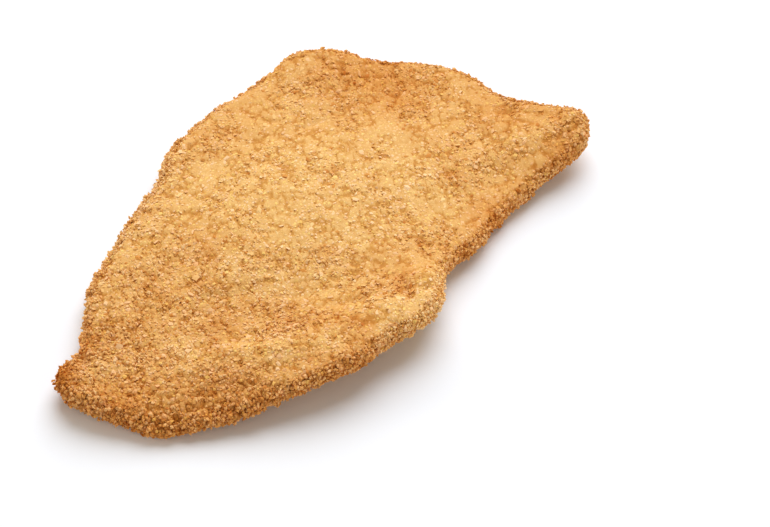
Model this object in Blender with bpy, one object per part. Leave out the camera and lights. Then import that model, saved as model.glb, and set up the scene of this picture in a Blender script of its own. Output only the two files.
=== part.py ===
"""A breaded schnitzel lying on its own: one cutlet, beaten flat, with a rounded rim and curled edges.

The file is in metres with +Z up, and the sizes below are in millimetres. The origin is on the surface
that the schnitzel lies on, under the middle of its outline. The narrow end points along -X and the broad
end along +X. The crumb coat belongs to the same solid, so every size is taken over the coat.
"""

import math

import bpy
from mathutils import Vector

MM = 0.001

# The outline from above, counter-clockwise from the corner that reaches out at the broad end.
OUTLINE = (
    (94, -51), (91, -36), (89, -22), (92.5, -8), (89, 8), (79, 23), (74.5, 37), (66, 49), (46, 52.5),
    (22, 57), (1, 56), (-8, 51.5), (-34, 47), (-57.5, 40.5), (-73, 31), (-81, 26), (-90, 26), (-95.5, 22),
    (-96.5, 13), (-94, 1), (-89, -13.5), (-72, -29.5), (-51, -44), (-38, -51), (-24, -54.5), (-10, -59.5),
    (1.5, -57), (12.5, -51), (26, -52.5), (42, -52), (62, -54.5), (79, -59.5), (89, -57.5),
)
CURVE_STEPS = 24  # steps of the smooth curve between two outline points

THICKNESS = 9.0  # at the rim, before the rises and hollows below
RIM = 4.5  # how far in from the outline the rounded rim reaches

# Gentle rises (+) and hollows (-) of the top: x, y, length, width, turn in degrees, height.
SWELLS = (
    (4, 2, 74, 40, -12, 3.2),  # the thick middle
    (8, 14, 36, 22, -20, 1.2),  # the broad crown
    (62, 36, 20, 14, 120, 0.8),  # the rounded corner at the broad end
    (-47, -24, 42, 8, -33, 1.9),  # the fold that runs along the near edge
    (-25, -14, 46, 8, -35, -1.1),  # the valley behind that fold
    (-86, -22, 34, 15, -42, -3.2),  # the slope from that fold down to the near edge
    (-28, 38, 34, 7, 22, 0.7),  # the roll along the far edge
    (-40, 22, 26, 8, 20, -0.6),
    (76, -42, 24, 6, -28, 1.5),  # the ridge of the corner that reaches out
    (46, -40, 18, 9, 10, -1.3),  # the dip between that ridge and the middle
    (66, 14, 18, 10, 110, -1.1),  # the browned dip at the broad end
    (86, -26, 9, 5, -80, -0.7),
    (3, -48, 7, 6, 0, 1.2),  # two lumps of coat at the near edge
    (-17, -48, 8, 6, 30, 1.0),
    (22, 34, 26, 6, 160, -0.6),
    (40, 30, 22, 6, 160, 0.5),
)

# Where the edge has curled up off the surface: x, y, reach, rise.
CURLS = (
    (99, -54, 46, 6.5),
    (-20, -80, 70, 9.0),
    (-56, -44, 40, 4.0),
    (-99, 22, 26, 2.0),
    (84, 46, 40, 2.0),
    (0, 68, 34, 1.8),
)

AROUND = 118  # vertices round the outline
FACE_RINGS = 15  # rings from the middle of a face to its rim
RIM_RINGS = 5  # rings from the rim's inner line to its widest line

CRUST_COLOUR = (0.74, 0.43, 0.16, 1.0)
CRUST_ROUGHNESS = 0.7


def clear_scene():
    for old in list(bpy.data.objects):
        bpy.data.objects.remove(old, do_unlink=True)


def smooth_loop(points):
    """A fine closed curve through the points (Catmull-Rom)."""
    corners = [Vector(p) for p in points]
    curve = []
    for i in range(len(corners)):
        before, start, end, after = (corners[(i + k) % len(corners)] for k in (-1, 0, 1, 2))
        for step in range(CURVE_STEPS):
            t = step / CURVE_STEPS
            curve.append(
                0.5
                * (
                    2 * start
                    + (end - before) * t
                    + (2 * before - 5 * start + 4 * end - after) * t**2
                    + (3 * start - before - 3 * end + after) * t**3
                )
            )
    return curve


def evenly_spaced(curve, count):
    """count points at equal distances along a closed curve."""
    lengths = [(curve[(i + 1) % len(curve)] - curve[i]).length for i in range(len(curve))]
    spacing = sum(lengths) / count
    found = []
    walked = 0.0
    for i, length in enumerate(lengths):
        while len(found) < count and len(found) * spacing <= walked + length:
            share = (len(found) * spacing - walked) / length
            found.append(curve[i].lerp(curve[(i + 1) % len(curve)], share))
        walked += length
    return found


def centred(loop):
    """The loop moved so that the middle of its box is the origin."""
    low = Vector((min(p.x for p in loop), min(p.y for p in loop)))
    high = Vector((max(p.x for p in loop), max(p.y for p in loop)))
    middle = (low + high) / 2
    return [p - middle for p in loop]


def outward(loop):
    """The outward direction at each point of a counter-clockwise loop."""
    normals = []
    for i in range(len(loop)):
        along = loop[(i + 1) % len(loop)] - loop[i - 1]
        normals.append(Vector((along.y, -along.x)).normalized())
    return normals


def swell(x, y):
    """The height that the rises and hollows add to the top."""
    total = 0.0
    for cx, cy, length, width, turn, height in SWELLS:
        angle = math.radians(turn)
        along = (x - cx) * math.cos(angle) + (y - cy) * math.sin(angle)
        across = (y - cy) * math.cos(angle) - (x - cx) * math.sin(angle)
        total += height * math.exp(-((along / length) ** 2) - (across / width) ** 2)
    return total


def curl(x, y):
    """The height of the underside, which is 0 all over the flat middle."""
    total = 0.0
    for cx, cy, reach, rise in CURLS:
        share = 1 - ((x - cx) ** 2 + (y - cy) ** 2) / reach**2
        total += rise * max(0.0, share) ** 2
    return total


def station(ring):
    """A ring's spread over a face, its inset from the outline and its share of the thickness."""
    last = FACE_RINGS + RIM_RINGS
    from_pole = min(ring, 2 * last - ring)
    if from_pole <= FACE_RINGS:
        spread, inset, level = from_pole / FACE_RINGS, RIM, 1.0
    else:
        turn = (from_pole - FACE_RINGS) / RIM_RINGS * math.pi / 2
        spread, inset, level = 1.0, RIM * (1 - math.sin(turn)), (1 + math.cos(turn)) / 2
    return spread, inset, level if ring <= last else 1 - level


def schnitzel_point(loop, normals, place, ring):
    """One point of the surface, in millimetres."""
    spread, inset, level = station(ring)
    x, y = (loop[place] - normals[place] * inset) * spread
    return Vector((x, y, curl(x, y) + level * (THICKNESS + swell(x, y))))


def crust_material():
    material = bpy.data.materials.new("crumb_crust")
    material.use_nodes = True
    shader = material.node_tree.nodes["Principled BSDF"]
    shader.inputs["Base Color"].default_value = CRUST_COLOUR
    shader.inputs["Roughness"].default_value = CRUST_ROUGHNESS
    shader.inputs["Metallic"].default_value = 0.0
    return material


def build_schnitzel(collection):
    """A sphere whose meridians run to the outline and whose rings become the top, rim and underside."""
    loop = centred(evenly_spaced(smooth_loop(OUTLINE), AROUND))
    normals = outward(loop)
    rings = 2 * (FACE_RINGS + RIM_RINGS)
    bpy.ops.mesh.primitive_uv_sphere_add(segments=AROUND, ring_count=rings, radius=1.0)
    cutlet = bpy.context.object
    for vertex in cutlet.data.vertices:
        x, y, z = vertex.co
        place = round(math.atan2(y, x) / math.tau * AROUND) % AROUND
        ring = round(math.acos(max(-1.0, min(1.0, z))) / math.pi * rings)
        vertex.co = schnitzel_point(loop, normals, place, ring) * MM
    cutlet.data.shade_smooth()
    cutlet.data.materials.append(crust_material())
    cutlet.name = "schnitzel"
    cutlet.data.name = "schnitzel"
    for old in list(cutlet.users_collection):
        old.objects.unlink(cutlet)
    collection.objects.link(cutlet)


def main():
    clear_scene()
    collection = bpy.data.collections.new("schnitzel")
    bpy.context.scene.collection.children.link(collection)
    build_schnitzel(collection)


main()
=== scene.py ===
"""The looks of a breaded schnitzel: a lumpy fried coat and several kinds of breadcrumb that stick to it."""

import math
from dataclasses import dataclass

import bpy
import numpy as np
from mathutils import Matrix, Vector, noise
from mathutils.bvhtree import BVHTree


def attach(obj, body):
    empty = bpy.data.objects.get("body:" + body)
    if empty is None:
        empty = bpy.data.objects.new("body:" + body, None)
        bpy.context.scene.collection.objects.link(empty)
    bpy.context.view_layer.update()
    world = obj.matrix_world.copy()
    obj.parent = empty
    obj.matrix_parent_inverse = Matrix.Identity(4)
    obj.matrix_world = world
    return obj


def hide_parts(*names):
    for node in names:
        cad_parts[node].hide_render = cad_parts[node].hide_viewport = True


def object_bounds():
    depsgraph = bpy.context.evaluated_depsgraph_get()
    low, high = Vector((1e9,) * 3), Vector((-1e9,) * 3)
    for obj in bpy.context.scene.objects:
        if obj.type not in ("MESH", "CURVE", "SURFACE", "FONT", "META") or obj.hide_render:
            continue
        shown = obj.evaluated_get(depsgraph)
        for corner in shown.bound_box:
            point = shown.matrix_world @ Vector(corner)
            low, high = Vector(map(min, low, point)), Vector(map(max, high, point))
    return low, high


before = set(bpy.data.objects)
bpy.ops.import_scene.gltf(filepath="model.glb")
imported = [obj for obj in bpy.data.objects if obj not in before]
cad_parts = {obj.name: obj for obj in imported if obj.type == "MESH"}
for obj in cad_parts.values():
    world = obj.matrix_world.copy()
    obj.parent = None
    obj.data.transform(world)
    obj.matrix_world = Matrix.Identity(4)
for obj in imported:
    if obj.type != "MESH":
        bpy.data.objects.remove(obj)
cad_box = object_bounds()

MM = 0.001
NOISE_SEED = 7  # for the noise that bends the outlines of the clumps

# The coat.
MERGE_GAP = 0.01 * MM  # corners of the solid nearer than this are one
COAT_STEP = 0.67 * MM  # the coat's mesh size
COAT_SMOOTHING = {"factor": 0.5, "iterations": 14}  # takes the steps off the remeshed coat
COAT_INSET = 0.75 * MM  # how far the coat lies inside the solid, to leave room for the crumbs
FLOOR_GAP = 0.03 * MM  # the lowest that anything reaches over the surface it lies on
MAP_MARGIN = 0.01  # left free round the coat's map, as a share of it


@dataclass
class Pattern:
    """Smooth noise that is spread over the schnitzel."""

    size: float  # of its swells, in metres
    strength: float
    shift: float  # where in the noise it starts, so that no two patterns are alike


# The relief of the coat. A strength is a height in metres, and a share is (pressed flat, loose).
SWELLS = Pattern(9 * MM, 0.4 * MM, 0.0)
PITS = Pattern(1.5 * MM, 0.25 * MM, 2.0)
PIT_SHARE = (0.4, 2.4)
WRINKLES = Pattern(1.0, 0.5 * MM, 5.0)  # of size 1, as they have a length and a width instead
WRINKLE_LENGTH, WRINKLE_WIDTH = 14 * MM, 3.8 * MM
WRINKLE_TURN = math.radians(-48)  # the way the wrinkles run, from +X
WRINKLE_SHARE = (0.3, 1.3)
CLUMP_LENGTH, CLUMP_WIDTH, CLUMP_HEIGHT = 3.4 * MM, 3.0 * MM, 0.6 * MM
CLUMP_SHARE = (0.5, 2.3)
CLUMP_TOP = 0.22  # the value of the clumps' noise from which they are fully raised
CLUMP_LEVEL = 0.9  # how far a clump is raised where it neither adds to the coat nor takes from it
CLUMP_BEND, CLUMP_BEND_SCALE = 0.45, 0.9  # how far the clumps' outlines stray, and how finely
CLUMP_GROWTH, CLUMP_GROWTH_SCALE = 0.8, 0.7  # how far some clumps join their neighbours, and how finely
CLUMP_GROWTH_SHIFT = Vector((0, 0, 20))

# How loose the crumbs lie: from 0, pressed flat, to 1, loose.
LOOSE_LEAST = 0.08
LOOSE_END = 0.3  # added towards the narrow end
LOOSE_RIM, LOOSE_SLOPES = 0.7, (0.18, 0.75)  # added where the coat slopes this much, as round the rim
BROAD_RIM_LESS = 0.4  # how much less of that at the broad end
LOOSE_BROWN_AND_SHADE = 0.15  # added in the darker places, both the fried ones and the painted shade
LOOSE_PATCHES = Pattern(14 * MM, 0.25, 7.0)

# How far the coat is fried, with some painted shade mixed in: from 0, pale, to 1, dark.
FRIED_LEAST = 0.22
FRIED_PATCHES = Pattern(16 * MM, 0.2, 3.0)
FRIED_SPOTS = Pattern(5 * MM, 0.15, 9.0)
FRIED_RIM_AND_SHADE, FRIED_SLOPES = 0.07, (0.15, 0.5)  # added where the coat slopes this much: a browner fried rim, and painted warm shade on the slopes
FRIED_UNDERSIDE, UNDERSIDE_DOWN = 0.15, -0.3  # added where the coat faces down more than this
FLECKS, FLECK_EDGE = Pattern(3 * MM, 0.18, 6.0), (0.3, 0.55)  # darker flecks where that noise is high
GAP_PAINTED_SHADE = 0.3  # painted shade: how much darker and browner the coat and crumbs are made in the gaps between the clumps

# The tone of each crumb in its palette, from 0 to 1.
TONE_MEAN, TONE_SPREAD = 0.57, 0.06
TONE_LOOSE_PAINTED_SHADE = 0.1  # painted shade: how much darker the loose crumbs are made, round the rim and where they lie coarse
TONE_GAP_PAINTED_SHADE = 0.25  # painted shade: how much darker the crumbs in the gaps between the clumps are
TONE_SPOTS = Pattern(2.6 * MM, 0.15, 4.0)
PEACH_PATCHES = Pattern(6 * MM, 0.5, 11.0)  # patches of peach crumb and of yellow crumb

# Single lumps (+) and crevices (-) of the top: x, y, length, width in mm, turn in degrees, height in mm.
LUMPS = (
    (-13, -46, 9, 5, -30, 1.0),
    (4, -48, 5, 4.5, 0, 1.3),
    (-3, -56, 4, 3.5, 0, 1.2),
    (-3, -44.5, 8, 1.6, 52, -1.5),
    (0.5, -52, 4, 1.3, -26, -1.1),
    (-16, -34, 9, 1.8, -46, -0.9),
    (83, -29, 4, 1.3, -15, -0.8),
    (87, -44.5, 5, 1.5, 45, -1.0),
    (89, -41, 9, 2.4, -75, 0.7),
    (-82, 22, 5, 2.0, 60, -1.1),
    (33, 36, 4, 1.4, -64, -0.8),
    (39, 24, 5, 1.4, -30, -0.7),
    (-36, 2, 16, 2.0, -44, -0.7),
    (-24, -16, 14, 2.0, -48, -0.5),
    (-50, -20, 20, 2.6, -52, 0.6),
)

# Places where the coat is darker (+) or paler (-), mostly from frying: x, y, reach in mm, strength. The ones
# marked below are painted shade and painted light.
BROWN_AND_SHADE_PLACES = (
    (72, 12, 14, 0.6),
    (68, 32, 20, 0.25),
    (40, 46, 24, 0.1),
    (76, -54, 6, 0.7),
    (87, -44.5, 3, 0.35),
    (56, -55, 10, 0.15),
    (25, -53, 8, 0.25),
    (86, -12, 12, 0.15),
    (80, -34, 16, 0.08),
    (-62, -8, 30, 0.1),
    (4, -40, 20, 0.25),
    (40, -54, 10, 0.15),
    (-88, -10, 16, 0.38),
    (-68, -23, 14, 0.28),
    (-46, -38, 13, 0.3),
    (-88, 3, 7, 0.25),
    (-45, -6, 8, 0.45),
    (-30, -14, 7, 0.25),
    (-25, -42, 5, 0.45),
    (-37, -22, 7, 0.2),
    (-29, -33, 6, 0.2),
    (7, -38, 9, 0.15),
    (42, -46, 8, 0.4),
    (18, 48, 9, 0.3),
    (44, 19, 8, 0.2),
    (60, 0, 9, 0.2),
    (80, -27, 12, 0.25),
    (-66, -7, 10, -0.35),
    (-46, -28, 7, -0.3),
    (-36, -38, 7, -0.3),
    (-30, -52, 8, 0.3),
    (-91, 24, 6, 0.9),
    (-78, 25, 6, 0.5),
    # painted shade: darker in the crease between the near lumps
    (0, -41, 3, 0.4),
    (-5, -47, 3, 0.4),
    (4, -48, 6, -0.35),
    (-4, -58, 9, -0.4),
    (-16, -50, 11, -0.4),
    (12, -2, 30, -0.4),
    (6, 17, 20, -0.15),
    (-50, -20, 14, -0.15),
    # painted light: paler along the far rim
    (-40, 48, 10, -0.3),
    (-12, 53, 10, -0.3),
    (20, 58, 10, -0.2),
    (25, 4, 3, 0.5),
    (17, 19, 3, 0.5),
    (48, -29, 4, 0.4),
    (-4, -15, 3, 0.5),
    (-37, 12, 3, 0.4),
    (-26, 17, 3, 0.4),
)

# Crumbs. A pair of values is (pressed flat, loose).
LEAN = (0.1, 0.5)  # how far crumbs lean from the coat's own direction
DEPTH = (0.28, 1.0)  # their height as a share of their width
LIFT_SHARE = (0.2, 1.0)  # how much of their layer's lift they have
UNEVEN = 0.4  # how far their corners stray, as a share of their distance from the middle
STRETCH = 0.38  # how far their length and width differ from their size, as a share of it
SINK = 0.12  # how far crumbs are pressed into the coat where it is smooth, as a share of their size
PACKING = 0.8  # how near packed crumbs come, as a share of their sizes
DROP = 4 * MM  # how far above the solid crumbs start from as they are dropped on the coat
CELL = 2.3 * MM  # the grid in which neighbours are looked up, as wide as the largest crumb
NEIGHBOURS = tuple((x, y, z) for x in (-1, 0, 1) for y in (-1, 0, 1) for z in (-1, 0, 1))

# The segments and rings of the plain grains that crumbs start from.
GRAIN = (4, 3)
FLAT_GRAIN = (5, 3)
GRAIN_MAP = ((0.12, 0.15), (0.88, 0.15), (0.5, 0.88))  # a triangle's corners in a crumb's cell of the map


@dataclass
class Layer:
    """Crumbs of one size, which are spread together."""

    tries: int  # places looked at, of which the packing keeps those with room
    size: tuple  # smallest and largest, in metres
    sides: tuple  # of the plain grain that they start from
    lift: float  # how far the highest stand over the coat, as a share of their size
    loose: float  # 0 lies everywhere, 1 only where the coat is loose, -1 only where it is pressed flat
    packed: bool


class Dice:
    """Random numbers for a layer: each try has its own, whichever of the others find room."""

    def __init__(self, seed, tries):
        self.random = np.random.default_rng(seed)
        self.kept = np.arange(tries)
        self.tries = tries

    def keep(self, chosen):
        """Goes on with the chosen ones of the tries that are left."""
        self.kept = self.kept[chosen]

    def even(self, low, high, *shape):
        return self.random.uniform(low, high, (self.tries, *shape))[self.kept]

    def bell(self, *shape):
        return self.random.normal(size=(self.tries, *shape))[self.kept]


@dataclass
class Crumbs:
    """One kind of crumb."""

    name: str
    layer: str
    share: float  # its part of the layer
    browned: float  # 0 lies everywhere, 1 only where the coat is browned and where painted shade in the gaps deepens that
    palette: tuple


# Colours from the darkest tone to the lightest, where nothing is browned.
CREAM = ((0.0, (0.78, 0.45, 0.155)), (0.5, (0.91, 0.61, 0.29)), (1.0, (0.99, 0.76, 0.45)))
PEACH = ((0.0, (0.79, 0.44, 0.17)), (0.5, (0.92, 0.59, 0.30)), (1.0, (0.97, 0.70, 0.42)))
YELLOW = ((0.0, (0.76, 0.43, 0.075)), (0.5, (0.91, 0.6, 0.18)), (1.0, (0.98, 0.76, 0.32)))
GOLDEN = ((0.0, (0.72, 0.39, 0.095)), (0.5, (0.88, 0.55, 0.21)), (1.0, (0.96, 0.69, 0.34)))
AMBER = ((0.0, (0.66, 0.33, 0.07)), (0.5, (0.84, 0.49, 0.17)), (1.0, (0.94, 0.64, 0.30)))
RUSSET = ((0.0, (0.49, 0.20, 0.04)), (0.5, (0.72, 0.37, 0.10)), (1.0, (0.89, 0.56, 0.22)))
RUST = ((0.0, (0.55, 0.19, 0.03)), (1.0, (0.80, 0.38, 0.09)))
# The coat's colours: its darker tones show in the gaps between the clumps, as painted shade.
PRESSED = ((0.0, (0.52, 0.23, 0.035)), (0.5, (0.70, 0.36, 0.09)), (1.0, (0.86, 0.54, 0.21)))
PEACHY = (CREAM, PEACH)  # the palettes that gather in the peach patches
TOAST_AND_SHADE = (0.83, 0.57, 0.32)  # what full browning leaves of a colour's red, green and blue; the same darkening paints the shade in the gaps

LAYERS = {
    "flake": Layer(2500, (1.5 * MM, 2.3 * MM), FLAT_GRAIN, 0.1, -1.0, True),
    "coarse": Layer(14000, (1.15 * MM, 1.5 * MM), GRAIN, 0.25, -0.3, True),
    "medium": Layer(70000, (0.85 * MM, 1.15 * MM), GRAIN, 0.25, 0.0, True),
    "fine": Layer(70000, (0.55 * MM, 0.85 * MM), GRAIN, 0.25, 0.0, True),
    "loose": Layer(70000, (0.65 * MM, 1.35 * MM), GRAIN, 1.0, 1.0, False),
}

KINDS = (
    Crumbs("crumbs_flakes", "flake", 0.5, 0.0, GOLDEN),
    Crumbs("crumbs_flakes_peach", "flake", 0.4, 0.0, PEACH),
    Crumbs("crumbs_flakes_toasted", "flake", 0.1, 0.0, RUST),
    Crumbs("crumbs_coarse_peach", "coarse", 0.4, 0.0, PEACH),
    Crumbs("crumbs_coarse_yellow", "coarse", 0.35, 0.0, YELLOW),
    Crumbs("crumbs_coarse_golden", "coarse", 0.35, 0.0, GOLDEN),
    Crumbs("crumbs_coarse_toasted", "coarse", 0.07, 0.0, RUST),
    Crumbs("crumbs_cream", "medium", 0.25, 0.0, CREAM),
    Crumbs("crumbs_peach", "medium", 0.25, 0.0, PEACH),
    Crumbs("crumbs_yellow", "medium", 0.25, 0.0, YELLOW),
    Crumbs("crumbs_amber", "medium", 0.22, 0.0, AMBER),
    Crumbs("crumbs_toasted", "medium", 0.04, 0.0, RUST),
    Crumbs("crumbs_browned", "medium", 0.8, 1.0, RUSSET),
    Crumbs("crumbs_fine_yellow", "fine", 0.5, 0.0, YELLOW),
    Crumbs("crumbs_fine_amber", "fine", 0.5, 0.0, AMBER),
    Crumbs("crumbs_loose_cream", "loose", 0.4, 0.0, CREAM),
    Crumbs("crumbs_loose_amber", "loose", 0.4, 0.0, AMBER),
    Crumbs("crumbs_loose_browned", "loose", 0.8, 1.0, RUSSET),
)

# Finishes. The scales of the coat's patterns are in cells per metre.
SPECULAR = 0.08
COAT_ROUGHNESS, CRUMB_ROUGHNESS, FLOOR_ROUGHNESS = 0.6, 0.55, 0.9
COAT_GRAIN_SCALE, COAT_SPECKLE_SCALE, COAT_SPECKLE_DETAIL = 1100.0, 700.0, 2.0
COAT_TONE, COAT_PAINTED_GAP_SHADE, COAT_TONE_GRAIN = 0.1, 0.5, 0.3  # the lowest, and what each pattern adds; the raised clumps' share is painted shade that leaves the gaps darker
COAT_BUMP, COAT_BUMP_DEPTH, COAT_BUMP_GRAIN = 0.5, 0.4 * MM, 0.5
FLOOR_SIZE, FLOOR_COLOUR = 12, (0.92, 0.93, 0.96, 1.0)
SURROUND_COLOUR, SURROUND = (1.0, 0.92, 0.79, 1.0), 0.33  # the studio's walls and how bright they are

# The camera.
LENS_MM = 100
SENSOR_MM = 36
VIEW_TURN = math.radians(215)  # where the camera stands round the schnitzel, from +X
VIEW_RISE = math.radians(50)  # how far it looks down
VIEW_WIDTH = 252.6 * MM  # how much it sees from side to side at the aim point
AIM_SHARE = Vector((0.0533, -0.2349, 0.0))  # of the solid's length and width, from its middle
CLIP_START = 10 * MM


@dataclass
class Lamp:
    """A round lamp in the studio."""

    name: str
    size: float  # across, in metres
    distance: float
    tilt: float  # how far it stands off straight above, in degrees
    turn: float  # round the schnitzel, in degrees: 270 is opposite the camera
    watts: float
    colour: tuple


LAMPS = (
    Lamp("softbox", 2.0, 1.8, 41, 257, 45.0, (0.88, 0.93, 1.0)),
    Lamp("reflector_right", 0.6, 1.5, 75, 145, 5.5, (1.0, 0.91, 0.78)),
    Lamp("reflector_left", 0.6, 1.5, 77, 0, 7.0, (1.0, 0.93, 0.82)),
)


# ---------------------------------------------------------------- shader graphs


class Link:
    """One output of a shader node, on which Python's operators build Math nodes."""

    def __init__(self, graph, socket):
        self.graph = graph
        self.socket = socket

    def _math(self, operation, *values):
        return self.graph.add("ShaderNodeMath", {"operation": operation}, dict(enumerate(values)))

    def __add__(self, other):
        return self._math("ADD", self, other)

    __radd__ = __add__

    def __mul__(self, other):
        return self._math("MULTIPLY", self, other)

    __rmul__ = __mul__


class Graph:
    """A material under construction."""

    def __init__(self, name):
        self.material = bpy.data.materials.new(name)
        self.material.use_nodes = True
        self.tree = self.material.node_tree
        self.shader = self.tree.nodes["Principled BSDF"]

    def add(self, kind, settings, inputs, output=0):
        """Adds a node: its settings first, then a value or a link for each input named."""
        node = self.tree.nodes.new(kind)
        for name, value in settings.items():
            setattr(node, name, value)
        self.fill(node, inputs)
        return Link(self, node.outputs[output])

    def fill(self, node, inputs):
        for name, value in inputs.items():
            if isinstance(value, Link):
                self.tree.links.new(value.socket, node.inputs[name])
            else:
                node.inputs[name].default_value = value

    def ramp(self, factor, stops):
        """A colour for each value of factor, from (place, colour) stops."""
        link = self.add("ShaderNodeValToRGB", {}, {"Fac": factor})
        elements = link.socket.node.color_ramp.elements
        while len(elements) < len(stops):
            elements.new(0.5)
        for element, (place, colour) in zip(elements, stops):
            element.position = place
            element.color = (*colour, 1.0)
        return link

    def fried_and_shaded(self, tone, palette):
        """The palette's colour for a tone, toasted by the piece's own browning and painted shade."""
        toasted = [(place, [c * t for c, t in zip(colour, TOAST_AND_SHADE)]) for place, colour in palette]
        sockets = {0: self.attribute("browning_and_shade"), 6: self.ramp(tone, palette), 7: self.ramp(tone, toasted)}
        return self.add("ShaderNodeMix", {"data_type": "RGBA"}, sockets, 2)

    def attribute(self, name):
        return self.add("ShaderNodeAttribute", {"attribute_name": name}, {}, "Fac")

    def surface(self, **inputs):
        """Sets the Principled shader's own sockets."""
        self.fill(self.shader, {"Specular IOR Level": SPECULAR})
        self.fill(self.shader, {name.replace("_", " "): value for name, value in inputs.items()})


def coat_material():
    """The coat between the loose crumbs: pressed crumbs, with painted shade that darkens them in the gaps.
    """
    graph = Graph("fried_coat")
    place = graph.add("ShaderNodeTexCoord", {}, {}, "Object")
    grain = graph.add("ShaderNodeTexVoronoi", {}, {"Vector": place, "Scale": COAT_GRAIN_SCALE}, "Color")
    fine = {"Vector": place, "Scale": COAT_SPECKLE_SCALE, "Detail": COAT_SPECKLE_DETAIL}
    speckle = graph.add("ShaderNodeTexNoise", {}, fine)
    # painted shade: the coat is lighter on the raised clumps and darker in the gaps between them
    tone = graph.attribute("raised") * COAT_PAINTED_GAP_SHADE + grain * COAT_TONE_GRAIN + COAT_TONE
    height = grain * COAT_BUMP_GRAIN + speckle
    relief = {"Strength": COAT_BUMP, "Distance": COAT_BUMP_DEPTH, "Height": height}
    bump = graph.add("ShaderNodeBump", {}, relief)
    graph.surface(Base_Color=graph.fried_and_shaded(tone, PRESSED), Roughness=COAT_ROUGHNESS, Normal=bump)
    return graph.material


def crumb_material(kind):
    """Dry crumb: each grain has one tone, which the frying darkens."""
    graph = Graph(kind.name + "_finish")
    colour = graph.fried_and_shaded(graph.attribute("tone"), kind.palette)
    graph.surface(Base_Color=colour, Roughness=CRUMB_ROUGHNESS)
    return graph.material


# ---------------------------------------------------------------- patterns


def soft_noise(points, pattern):
    """Smooth noise from about -1 to 1, without the pattern's strength."""
    shift = Vector((pattern.shift, 0, 0))
    return np.array([noise.noise(Vector(p) / pattern.size + shift) for p in points])


def laid(points, pattern):
    """A pattern at its own strength."""
    return pattern.strength * soft_noise(points, pattern)


def between(loose, ends):
    """A value that goes from the first to the second one as the crumbs get looser."""
    return np.interp(loose, (0, 1), ends)


def step(values, low, high):
    """A soft step from 0 at low to 1 at high."""
    share = np.clip((values - low) / (high - low), 0, 1)
    return share * share * (3 - 2 * share)


def along_and_across(points, turn):
    """Distances along a direction in the plan and across it."""
    along = points[:, 0] * math.cos(turn) + points[:, 1] * math.sin(turn)
    across = points[:, 1] * math.cos(turn) - points[:, 0] * math.sin(turn)
    return along, across


def clumps(points):
    """Rounded clumps of crumb, from 0 in the gaps between them to 1 on top."""
    heights = []
    along, across = along_and_across(points, WRINKLE_TURN)
    for point in np.stack([along / CLUMP_LENGTH, across / CLUMP_WIDTH, points[:, 2] / CLUMP_WIDTH], 1):
        place = Vector(point)
        place += CLUMP_BEND * noise.noise_vector(place * CLUMP_BEND_SCALE)
        near, far = noise.voronoi(place)[0][:2]
        grown = max(0.0, noise.noise(place * CLUMP_GROWTH_SCALE + CLUMP_GROWTH_SHIFT))
        heights.append(far - near + CLUMP_GROWTH * grown)
    return step(np.array(heights), 0, CLUMP_TOP)


def wrinkles(points):
    """Soft wrinkles that all run much the same way."""
    along, across = along_and_across(points, WRINKLE_TURN)
    places = np.stack([along / WRINKLE_LENGTH, across / WRINKLE_WIDTH, points[:, 2] / WRINKLE_LENGTH], 1)
    return soft_noise(places, WRINKLES)


def lumps(points, normals):
    """The single lumps and crevices of the top."""
    total = np.zeros(len(points))
    for x, y, length, width, turn, height in LUMPS:
        along, across = along_and_across(points - (x * MM, y * MM, 0), math.radians(turn))
        total += height * MM * np.exp(-((along / (length * MM)) ** 2) - (across / (width * MM)) ** 2)
    return total * step(normals[:, 2], 0, 0.5)


def brown_and_shade_places(points):
    """How much the single places add to the browning, painted shade and painted light included."""
    total = np.zeros(len(points))
    for x, y, reach, strength in BROWN_AND_SHADE_PLACES:
        apart = (points[:, 0] - x * MM) ** 2 + (points[:, 1] - y * MM) ** 2
        total += strength * np.exp(-apart / (reach * MM) ** 2)
    return total


def looseness(points, normals):
    """How loose and coarse the crumbs lie: from 0 where they are pressed flat to 1 round the rim."""
    slope = np.hypot(normals[:, 0], normals[:, 1])
    end = points[:, 0] / cad_box[0][0]  # 1 at the narrow end, -1 at the broad end
    amount = LOOSE_LEAST + LOOSE_END * np.maximum(0, end) + laid(points, LOOSE_PATCHES)
    amount += LOOSE_RIM * step(slope, *LOOSE_SLOPES) * (1 + BROAD_RIM_LESS * np.minimum(0, end))
    amount += LOOSE_BROWN_AND_SHADE * np.maximum(0, brown_and_shade_places(points))
    return np.clip(amount, 0, 1)


def browning_and_shade(points, normals):
    """How far the coat is fried at each point, from 0, pale, to 1, dark, with some painted shade and painted
    light mixed in.
    """
    amount = FRIED_LEAST + laid(points, FRIED_PATCHES) + laid(points, FRIED_SPOTS)
    # partly painted warm shade on the slopes, partly a browner fried rim
    amount += FRIED_RIM_AND_SHADE * step(np.hypot(normals[:, 0], normals[:, 1]), *FRIED_SLOPES)
    amount += FRIED_UNDERSIDE * (normals[:, 2] < UNDERSIDE_DOWN)
    amount += FLECKS.strength * step(soft_noise(points, FLECKS), *FLECK_EDGE)
    return np.clip(amount + brown_and_shade_places(points), 0, 1)


def with_painted_gap_shade(fried_and_shaded, raised):
    """Painted shade: the gaps between the clumps are given a deeper, browner colour."""
    return np.clip(fried_and_shaded + GAP_PAINTED_SHADE * (1 - raised), 0, 1)


# ---------------------------------------------------------------- the coat


def only(piece):
    """Selects one piece and makes it the active one."""
    bpy.ops.object.select_all(action="DESELECT")
    piece.select_set(True)
    bpy.context.view_layer.objects.active = piece


def modified(piece, kind, **settings):
    """Adds a modifier, sets it and applies it."""
    modifier = piece.modifiers.new(kind.title(), kind)
    for name, value in settings.items():
        setattr(modifier, name, value)
    only(piece)
    bpy.ops.object.modifier_apply(modifier=modifier.name)


def numbers(items, name, width):
    """One property of many mesh elements, as an array of rows."""
    values = np.empty(len(items) * width, np.float32)
    items.foreach_get(name, values)
    return values.reshape(-1, width)


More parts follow.
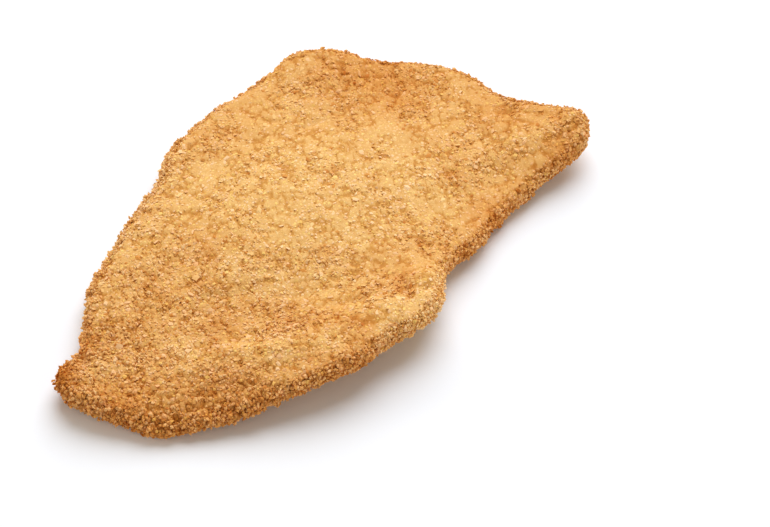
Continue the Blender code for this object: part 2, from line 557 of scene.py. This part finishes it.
def set_attribute(mesh, name, values):
    mesh.attributes.new(name, "FLOAT", "POINT").data.foreach_set("value", values.astype(np.float32))


def build_coat(cad):
    """A fine closed skin, made from the solid's own surface."""
    coat = bpy.data.objects.new("schnitzel_coat", cad.data.copy())
    bpy.context.scene.collection.objects.link(coat)
    coat.data.materials.clear()
    modified(coat, "WELD", merge_threshold=MERGE_GAP)
    modified(coat, "REMESH", mode="VOXEL", voxel_size=COAT_STEP)
    modified(coat, "SMOOTH", **COAT_SMOOTHING)
    raise_relief(coat.data)
    lay_out_coat(coat.data)
    coat.data.materials.append(coat_material())
    coat.data.shade_smooth()
    return coat


def raise_relief(mesh):
    """Sets the coat back for the crumbs, gives it its relief and keeps it off the floor."""
    points, normals = numbers(mesh.vertices, "co", 3), numbers(mesh.vertices, "normal", 3)
    loose, raised = looseness(points, normals), clumps(points)
    height = laid(points, SWELLS) + lumps(points, normals)
    height += WRINKLES.strength * between(loose, WRINKLE_SHARE) * wrinkles(points)
    height += CLUMP_HEIGHT * between(loose, CLUMP_SHARE) * (raised - CLUMP_LEVEL)
    height += PITS.strength * between(loose, PIT_SHARE) * soft_noise(points, PITS)
    # painted shade in the gaps goes into the coat's browning here
    set_attribute(mesh, "browning_and_shade", with_painted_gap_shade(browning_and_shade(points, normals), raised))
    # the coat's material paints shade in the gaps from this
    set_attribute(mesh, "raised", raised)
    points += normals * (height - COAT_INSET)[:, None]
    points[:, 2] = np.maximum(points[:, 2], FLOOR_GAP)
    mesh.vertices.foreach_set("co", points.ravel())
    mesh.update()


def lay_out_coat(mesh):
    """Lays the top over one half of the map and the underside over the other."""
    flat = numbers(mesh.vertices, "co", 3)[:, :2]
    low, high = flat.min(0), flat.max(0)
    flat = (flat - low) / (high - low) * (1 - 2 * MAP_MARGIN) + MAP_MARGIN
    corners = np.empty(len(mesh.loops), np.int32)
    mesh.loops.foreach_get("vertex_index", corners)
    counts = np.empty(len(mesh.polygons), np.int32)
    mesh.polygons.foreach_get("loop_total", counts)
    under = np.repeat(numbers(mesh.polygons, "normal", 3)[:, 2] < 0, counts)
    places = flat[corners]
    places[:, 1] = places[:, 1] / 2 + under / 2
    mesh.uv_layers.new(name="OFBake").data.foreach_set("uv", places.astype(np.float32).ravel())


# ---------------------------------------------------------------- crumbs


def plain_grain(sides):
    """The corners and triangles of a plain grain one unit across."""
    segments, rings = sides
    bpy.ops.object.select_all(action="DESELECT")
    bpy.ops.mesh.primitive_uv_sphere_add(segments=segments, ring_count=rings, radius=0.5)
    grain = bpy.context.object
    corners = numbers(grain.data.vertices, "co", 3)
    grain.data.calc_loop_triangles()
    triangles = np.array([t.vertices[:] for t in grain.data.loop_triangles])
    bpy.data.objects.remove(grain, do_unlink=True)
    return corners, triangles


def unit(vectors):
    return vectors / np.linalg.norm(vectors, axis=1, keepdims=True)


def turned(outward, lean, dice):
    """For each crumb, three axes with the third one near the outward direction."""
    up = unit(outward + lean[:, None] * dice.bell(3))
    side = unit(np.cross(up, dice.bell(3)))
    return np.stack([side, np.cross(up, side), up], axis=1)


def places_on(solid, dice):
    """Random places on the solid's surface and its directions there."""
    mesh = solid.data
    mesh.calc_loop_triangles()
    corners = np.array([t.vertices[:] for t in mesh.loop_triangles])
    points = numbers(mesh.vertices, "co", 3).astype(float)
    a, b, c = (points[corners[:, k]] for k in range(3))
    across = np.cross(b - a, c - a)
    area = np.linalg.norm(across, axis=1)
    normals = across / np.maximum(area, 1e-12)[:, None]
    share = dice.even(0, area.sum())
    chosen = np.minimum(np.searchsorted(np.cumsum(area), share), len(area) - 1)
    u, v = dice.even(0, 1, 1), dice.even(0, 1, 1)
    over = u + v > 1
    u, v = np.where(over, 1 - u, u), np.where(over, 1 - v, v)
    return a[chosen] + u * (b[chosen] - a[chosen]) + v * (c[chosen] - a[chosen]), normals[chosen]


def has_room(cells, cell, place, size):
    """Whether a crumb fits at a place without lying on its neighbours."""
    for step_x, step_y, step_z in NEIGHBOURS:
        for other, other_size in cells.get((cell[0] + step_x, cell[1] + step_y, cell[2] + step_z), ()):
            if math.dist(place, other) < PACKING * (size + other_size) / 2:
                return False
    return True


def packed(cells, points, sizes):
    """The numbers of the crumbs that find room, with the ones that are there already."""
    kept = []
    for i, (place, size) in enumerate(zip(points.tolist(), sizes.tolist())):
        cell = tuple(int(x // CELL) for x in place)
        if has_room(cells, cell, place, size):
            cells.setdefault(cell, []).append((place, size))
            kept.append(i)
    return np.array(kept)


def dropped(tree, points, normals):
    """Where crumbs land that are dropped on the coat, and its outward directions there."""
    places, outward = [], []
    for point, normal in zip(points, normals):
        way = Vector(normal)
        found = tree.ray_cast(Vector(point) + way * DROP, -way, 2 * DROP)
        if found[0] is None:
            found = tree.find_nearest(Vector(point))
        places.append(found[0])
        outward.append(found[1])
    return np.array(places), np.array(outward)


@dataclass
class Spread:
    """A layer's crumbs as they are spread on the solid, one row each, and what the coat is like there."""

    points: np.ndarray
    normals: np.ndarray
    sizes: np.ndarray
    loose: np.ndarray
    raised: np.ndarray
    fried_and_shaded: np.ndarray


def spread(solid, layer, cells, dice):
    """Spreads a layer's crumbs, and keeps those that belong where they lie and find room."""
    points, normals = places_on(solid, dice)
    sizes = dice.even(*layer.size)
    loose = looseness(points, normals)
    wanted = 1 - abs(layer.loose) * (1 - loose if layer.loose > 0 else loose)
    kept = np.flatnonzero(dice.even(0, 1) < wanted)
    if layer.packed:
        kept = kept[packed(cells, points[kept], sizes[kept])]
    dice.keep(kept)
    points, normals = points[kept], normals[kept]
    raised = clumps(points)
    # painted shade in the gaps, as on the coat
    fried_and_shaded = with_painted_gap_shade(browning_and_shade(points, normals), raised)
    return Spread(points, normals, sizes[kept], looseness(points, normals), raised, fried_and_shaded)


def shaped(crumbs, layer, corners, tree, dice):
    """The corners of every crumb, uneven, stretched, turned and laid on the coat."""
    centres, outward = dropped(tree, crumbs.points, crumbs.normals)
    uneven = 1 + dice.even(-UNEVEN, UNEVEN, len(corners), 1)
    stretch = 1 + dice.even(-STRETCH, STRETCH, 1, 3)
    stretch[:, 0, 2] *= between(crumbs.loose, DEPTH)
    axes = turned(outward, between(crumbs.loose, LEAN), dice)
    grains = corners * uneven * stretch * crumbs.sizes[:, None, None] @ axes
    lift = layer.lift * dice.even(0, 1) * between(crumbs.loose, LIFT_SHARE) - SINK * (1 - crumbs.loose)
    grains += (centres + outward * (crumbs.sizes * lift)[:, None])[:, None]
    grains[:, :, 2] = np.maximum(grains[:, :, 2], FLOOR_GAP)
    return grains


def tones(crumbs, dice):
    """Each crumb's tone: darker where it lies loose or in a gap, which is painted shade."""
    tone = TONE_MEAN - TONE_LOOSE_PAINTED_SHADE * crumbs.loose + laid(crumbs.points, TONE_SPOTS)
    tone += TONE_GAP_PAINTED_SHADE * (crumbs.raised - 1)
    return np.clip(tone + TONE_SPREAD * dice.bell(), 0, 1)


def share_of(kind, fried_and_shaded, patches):
    """How much of its layer a kind makes up at each crumb's place."""
    gathered = 1 + patches if kind.palette in PEACHY else 1 - patches
    # the browned kinds gather where the coat is browned and where painted shade darkens the gaps
    return kind.share * (1 - kind.browned + kind.browned * fried_and_shaded**2) * gathered


def sorted_out(crumbs, kinds, dice):
    """The number of the kind that each crumb belongs to."""
    patches = laid(crumbs.points, PEACH_PATCHES)
    shares = np.array([share_of(kind, crumbs.fried_and_shaded, patches) for kind in kinds])
    limits = np.cumsum(shares / shares.sum(0), axis=0)
    return (dice.even(0, 1) > limits[:-1]).sum(0)


def build_layer(tree, solid, name, cells, seed):
    """All crumbs of one layer, as one joined mesh for each kind."""
    layer = LAYERS[name]
    dice = Dice(seed, layer.tries)
    crumbs = spread(solid, layer, cells, dice)
    corners, triangles = plain_grain(layer.sides)
    grains = shaped(crumbs, layer, corners, tree, dice)
    tone = tones(crumbs, dice)
    kinds = [kind for kind in KINDS if kind.layer == name]
    choice = sorted_out(crumbs, kinds, dice)
    pieces = []
    for number, kind in enumerate(kinds):
        own = choice == number
        pieces.append(join_crumbs(kind, grains[own], triangles, tone[own], crumbs.fried_and_shaded[own]))
    return pieces


def join_crumbs(kind, grains, triangles, tone, fried_and_shaded):
    """One mesh of many crumbs, each with its own tone and browning, painted shade included."""
    count, corners = grains.shape[:2]
    faces = (triangles + corners * np.arange(count)[:, None, None]).reshape(-1, 3)
    mesh = bpy.data.meshes.new(kind.name)
    mesh.from_pydata(grains.reshape(-1, 3), [], faces)
    set_attribute(mesh, "tone", np.repeat(tone, corners))
    set_attribute(mesh, "browning_and_shade", np.repeat(fried_and_shaded, corners))
    lay_out_crumbs(mesh, count, len(triangles))
    mesh.materials.append(crumb_material(kind))
    piece = bpy.data.objects.new(kind.name, mesh)
    bpy.context.scene.collection.objects.link(piece)
    return piece


def lay_out_crumbs(mesh, count, triangles):
    """Gives each crumb one cell of the map, which all its triangles share."""
    across = math.ceil(math.sqrt(count))
    crumb = np.arange(count)
    cell = np.stack([crumb % across, crumb // across], 1)
    places = (cell[:, None, None] + np.array(GRAIN_MAP)) / across
    places = np.broadcast_to(places, (count, triangles, 3, 2))
    mesh.uv_layers.new(name="OFBake").data.foreach_set("uv", places.astype(np.float32).ravel())


# ---------------------------------------------------------------- floor, light and camera


def build_floor():
    bpy.ops.object.select_all(action="DESELECT")
    bpy.ops.mesh.primitive_plane_add(size=FLOOR_SIZE)
    floor = bpy.context.object
    floor.name = "floor"
    graph = Graph("white_table")
    graph.surface(Base_Color=FLOOR_COLOUR, Roughness=FLOOR_ROUGHNESS)
    floor.data.materials.append(graph.material)


def add_surround():
    """An even and slightly warm surround, which fills the shadows."""
    world = bpy.data.worlds.new("studio")
    bpy.context.scene.world = world
    world.use_nodes = True
    background = world.node_tree.nodes["Background"]
    background.inputs["Color"].default_value = SURROUND_COLOUR
    background.inputs["Strength"].default_value = SURROUND


def add_lamp(lamp):
    """One round lamp that faces the middle of the schnitzel."""
    light = bpy.data.lights.new(lamp.name, "AREA")
    light.shape = "DISK"
    light.size = lamp.size
    light.energy = lamp.watts
    light.color = lamp.colour
    holder = bpy.data.objects.new(lamp.name, light)
    holder.rotation_euler = (math.radians(lamp.tilt), 0, VIEW_TURN + math.radians(lamp.turn))
    holder.location = holder.rotation_euler.to_matrix() @ Vector((0, 0, lamp.distance))
    bpy.context.scene.collection.objects.link(holder)


def add_camera():
    low, high = cad_box
    middle = (Vector(low) + Vector(high)) / 2
    side = Vector(high) - Vector(low)
    aim = Vector((middle.x + AIM_SHARE.x * side.x, middle.y + AIM_SHARE.y * side.y, low[2]))
    distance = VIEW_WIDTH * LENS_MM / SENSOR_MM
    level = distance * math.cos(VIEW_RISE)
    lens = bpy.data.cameras.new("camera")
    lens.lens = LENS_MM
    lens.sensor_width = SENSOR_MM
    lens.clip_start = CLIP_START
    camera = bpy.data.objects.new("camera", lens)
    camera.location = aim + Vector(
        (level * math.cos(VIEW_TURN), level * math.sin(VIEW_TURN), distance * math.sin(VIEW_RISE))
    )
    camera.rotation_euler = (aim - camera.location).to_track_quat("-Z", "Y").to_euler()
    bpy.context.scene.collection.objects.link(camera)
    bpy.context.scene.camera = camera


def main():
    noise.seed_set(NOISE_SEED)
    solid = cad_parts["schnitzel"]
    coat = build_coat(solid)
    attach(coat, "root")
    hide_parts("schnitzel")
    tree = BVHTree.FromPolygons([v.co for v in coat.data.vertices], [p.vertices for p in coat.data.polygons])
    cells = {}
    for seed, name in enumerate(LAYERS):
        for crumbs in build_layer(tree, solid, name, cells, seed):
            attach(crumbs, "root")
    build_floor()
    add_surround()
    for lamp in LAMPS:
        add_lamp(lamp)
    add_camera()
    bpy.context.scene.view_settings.view_transform = "Standard"


main()
